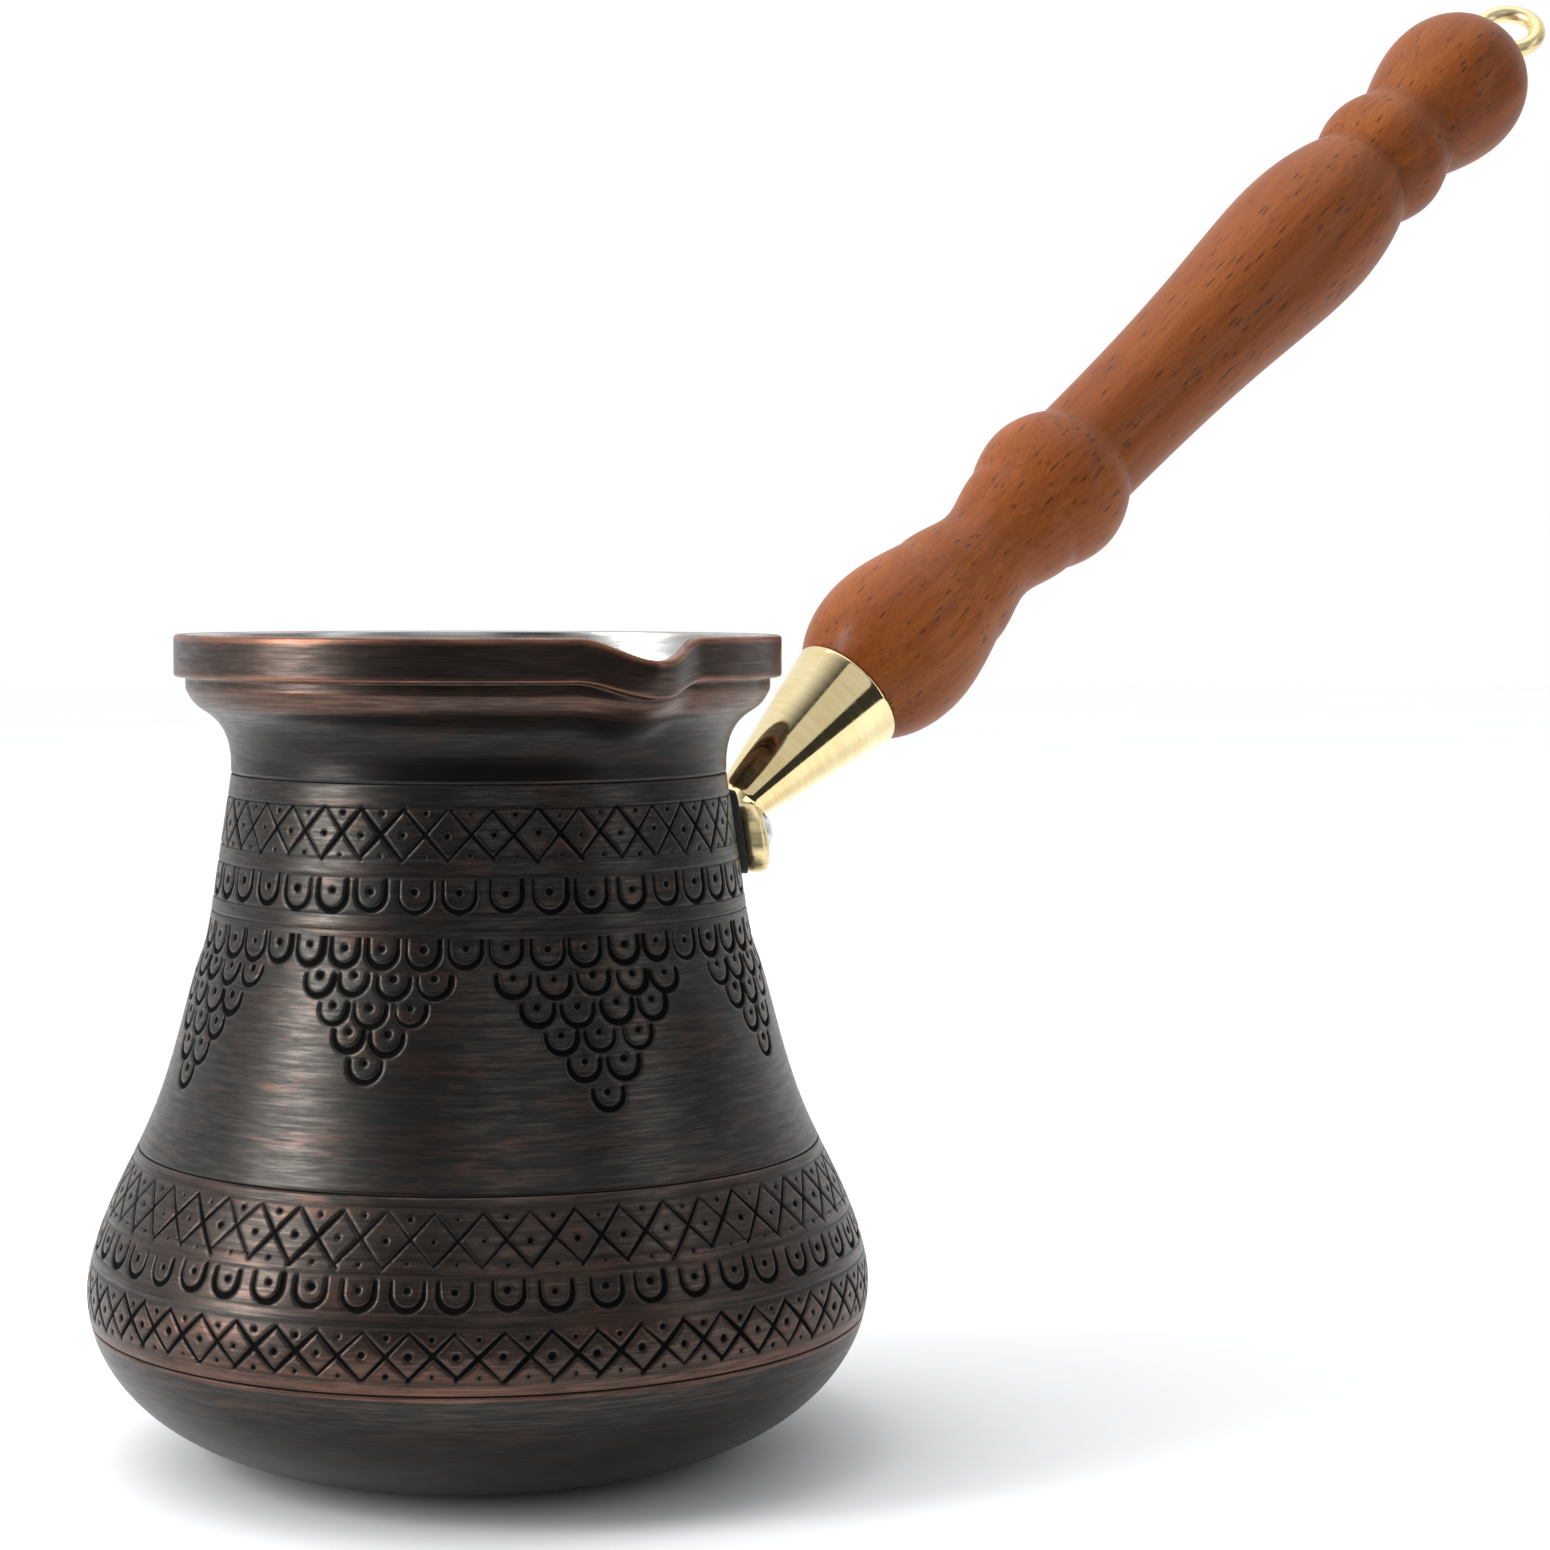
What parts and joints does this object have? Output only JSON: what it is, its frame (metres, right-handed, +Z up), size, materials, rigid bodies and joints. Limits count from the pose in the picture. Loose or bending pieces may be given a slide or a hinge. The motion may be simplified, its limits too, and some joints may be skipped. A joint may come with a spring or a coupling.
{
  "type": "turkish coffee pot",
  "caption": "Engraved copper cezve with tinned inside, pouring spout, riveted brass bracket and turned wooden handle with hanging eye.",
  "frame": {"origin": "centre of the flat base, on the surface that the pot stands on", "axes": "+Z up along the pot's axis, +X towards the handle, -Y towards the pouring spout"},
  "size_m": [0.2133, 0.0862, 0.1767],
  "materials": {
    "copper": "antiqued dark copper, finely brushed, engraved",
    "tin": "wiped tin, satin bright",
    "pad": "black heat-resistant fibre, matt",
    "brass": "polished cast brass, brushed on the saddle's edge",
    "rivet": "bright, hammered domes",
    "steel": "zinc plated",
    "beech": "red-brown stained beech, satin lacquer",
    "brass_wire": "drawn brass wire"
  },
  "bodies": {
    "root": {"pot_body": "copper", "tin_lining": "tin", "heat_pad": "pad", "handle_socket": "brass", "saddle_rivets": "rivet", "handle_stud": "steel", "wooden_handle": "beech", "hanging_eye": "brass_wire"}
  },
  "joints": []
}
